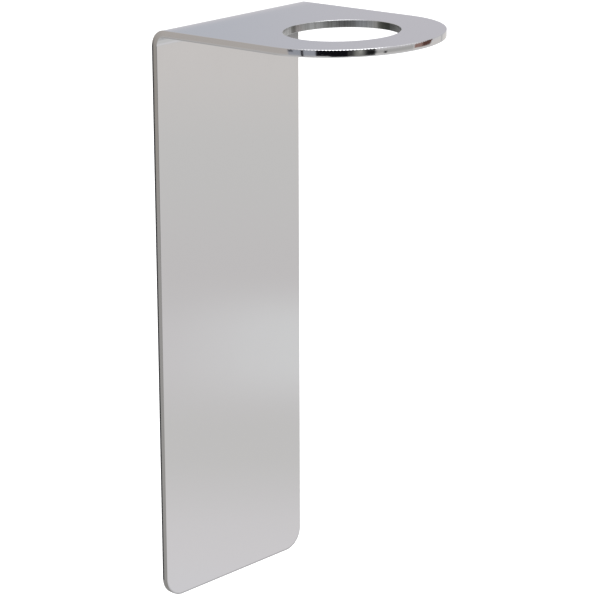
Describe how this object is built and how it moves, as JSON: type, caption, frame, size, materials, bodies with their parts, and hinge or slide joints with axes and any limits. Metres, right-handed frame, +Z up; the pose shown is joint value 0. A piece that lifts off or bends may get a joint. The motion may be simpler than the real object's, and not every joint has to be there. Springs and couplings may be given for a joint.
{
  "type": "soap dispenser holder",
  "caption": "Wall holder for a pump soap bottle: a tall polished plate folded into a round-nosed shelf with a neck hole, fixed by foam tape behind the plate.",
  "frame": {"origin": "on the wall plane, at the middle of the plate's width and height, which is the middle of the middle strip of tape", "axes": "+Z up along the plate, +Y into the wall, so the shelf stands out towards -Y, and +X across the plate to the right as someone facing the wall sees it"},
  "size_m": [0.06, 0.0792, 0.1825],
  "materials": {
    "chrome": "bright polished chrome",
    "foam_tape": "dark grey closed-cell acrylic foam, tacky on both faces"
  },
  "bodies": {
    "root": {"bracket": "chrome", "upper_foam_tape": "foam_tape", "middle_foam_tape": "foam_tape", "lower_foam_tape": "foam_tape"}
  },
  "joints": []
}
